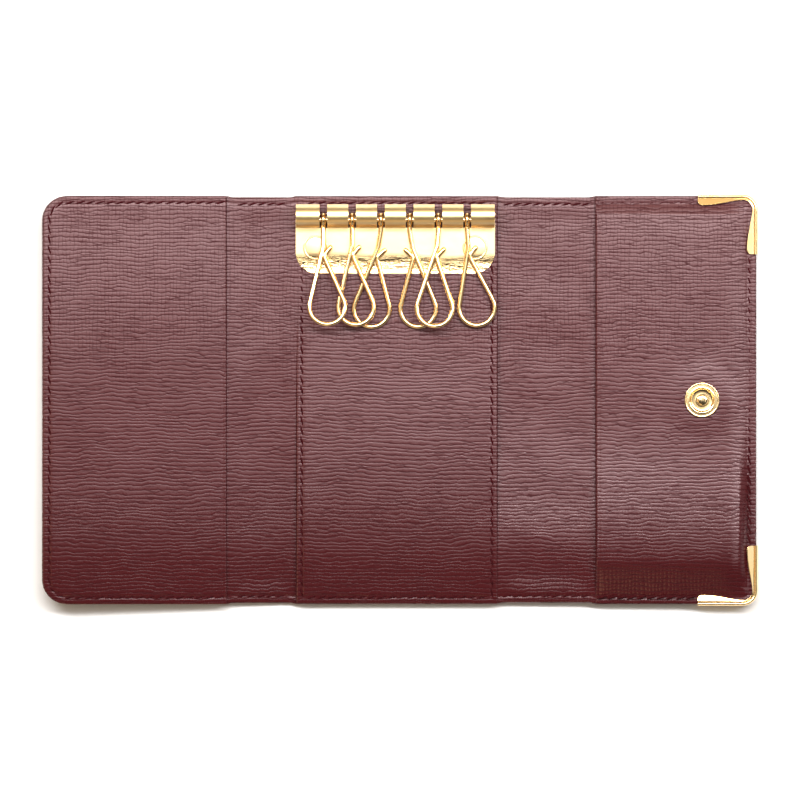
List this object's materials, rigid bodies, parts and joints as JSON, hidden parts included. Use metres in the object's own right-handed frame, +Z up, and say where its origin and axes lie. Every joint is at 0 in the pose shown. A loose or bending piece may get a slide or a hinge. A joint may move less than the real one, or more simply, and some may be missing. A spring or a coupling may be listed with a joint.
{
  "type": "key case",
  "caption": "Folding leather key case lying open: stitched panels and folds, a slotted rolled key plate with swinging wire hooks, a padded snap flap and metal corners.",
  "frame": {"origin": "centre of the open case, on the surface that it lies on", "axes": "+X from the plain panel across to the snap panel, +Y up towards the key hooks, +Z up from the surface, with the inside of the case up"},
  "size_m": [0.179, 0.1028, 0.0086],
  "materials": {
    "cover": "burgundy cross-grained calf, semi-gloss",
    "lining": "burgundy cross-grained calf, soft sheen",
    "board": "plain stiffening board",
    "foam": "soft felt padding",
    "gold": "polished gold plating on brass",
    "steel": "plain spring steel"
  },
  "bodies": {
    "centre_panel": {"cover_centre": "cover", "lining_centre": "lining", "stiffener_centre": "board", "hook_facing": "lining", "key_plate": "gold", "hook_rod": "gold", "plate_rivets": "gold", "rivet_washers": "gold"},
    "hook_1": {"key_hook_1": "gold"},
    "hook_2": {"key_hook_2": "gold"},
    "hook_3": {"key_hook_3": "gold"},
    "hook_4": {"key_hook_4": "gold"},
    "hook_5": {"key_hook_5": "gold"},
    "hook_6": {"key_hook_6": "gold"},
    "left_fold": {"cover_left_fold": "cover", "lining_left_fold": "lining"},
    "left_panel": {"cover_left": "cover", "lining_left": "lining", "stiffener_left": "board", "pocket_left": "lining", "snap_socket": "gold", "socket_spring": "steel", "socket_post": "steel"},
    "right_fold": {"cover_right_fold": "cover", "lining_right_fold": "lining"},
    "right_panel": {"cover_right": "cover", "lining_right": "lining", "stiffener_right": "board", "pocket_padding": "foam", "pocket_right": "lining", "snap_stud": "gold", "snap_cap": "gold", "corner_upper": "gold", "corner_lower": "gold"}
  },
  "joints": [
    {"name": "left_inner_crease", "type": "hinge", "parent": "centre_panel", "child": "left_fold", "pos_m": [-0.02627, 0, 0.0018], "axis": [0, 1, 0], "range_deg": [0, 86.45]},
    {"name": "left_outer_crease", "type": "hinge", "parent": "left_fold", "child": "left_panel", "pos_m": [-0.04303, 0, 0.00284], "axis": [0, 1, 0], "range_deg": [0, 90]},
    {"name": "right_inner_crease", "type": "hinge", "parent": "centre_panel", "child": "right_fold", "pos_m": [0.02473, 0, 0.0018], "axis": [0, -1, 0], "range_deg": [0, 88.92]},
    {"name": "right_outer_crease", "type": "hinge", "parent": "right_fold", "child": "right_panel", "pos_m": [0.04852, 0, 0.00225], "axis": [0, -1, 0], "range_deg": [0, 90]},
    {"name": "hook_1_swing", "type": "hinge", "parent": "hook_2", "child": "hook_1", "pos_m": [-0.01912, 0.045, 0.0055], "axis": [1, 0, 0], "range_deg": [-60, 0]},
    {"name": "hook_2_swing", "type": "hinge", "parent": "hook_3", "child": "hook_2", "pos_m": [-0.01194, 0.045, 0.0055], "axis": [1, 0, 0], "range_deg": [-60, 0]},
    {"name": "hook_3_swing", "type": "hinge", "parent": "centre_panel", "child": "hook_3", "pos_m": [-0.00476, 0.045, 0.0055], "axis": [1, 0, 0], "range_deg": [-60, 0]},
    {"name": "hook_4_swing", "type": "hinge", "parent": "centre_panel", "child": "hook_4", "pos_m": [0.00242, 0.045, 0.0055], "axis": [1, 0, 0], "range_deg": [-90, 0]},
    {"name": "hook_5_swing", "type": "hinge", "parent": "hook_4", "child": "hook_5", "pos_m": [0.0096, 0.045, 0.0055], "axis": [1, 0, 0], "range_deg": [-90, 0]},
    {"name": "hook_6_swing", "type": "hinge", "parent": "centre_panel", "child": "hook_6", "pos_m": [0.01678, 0.045, 0.0055], "axis": [1, 0, 0], "range_deg": [-180, 0]}
  ]
}
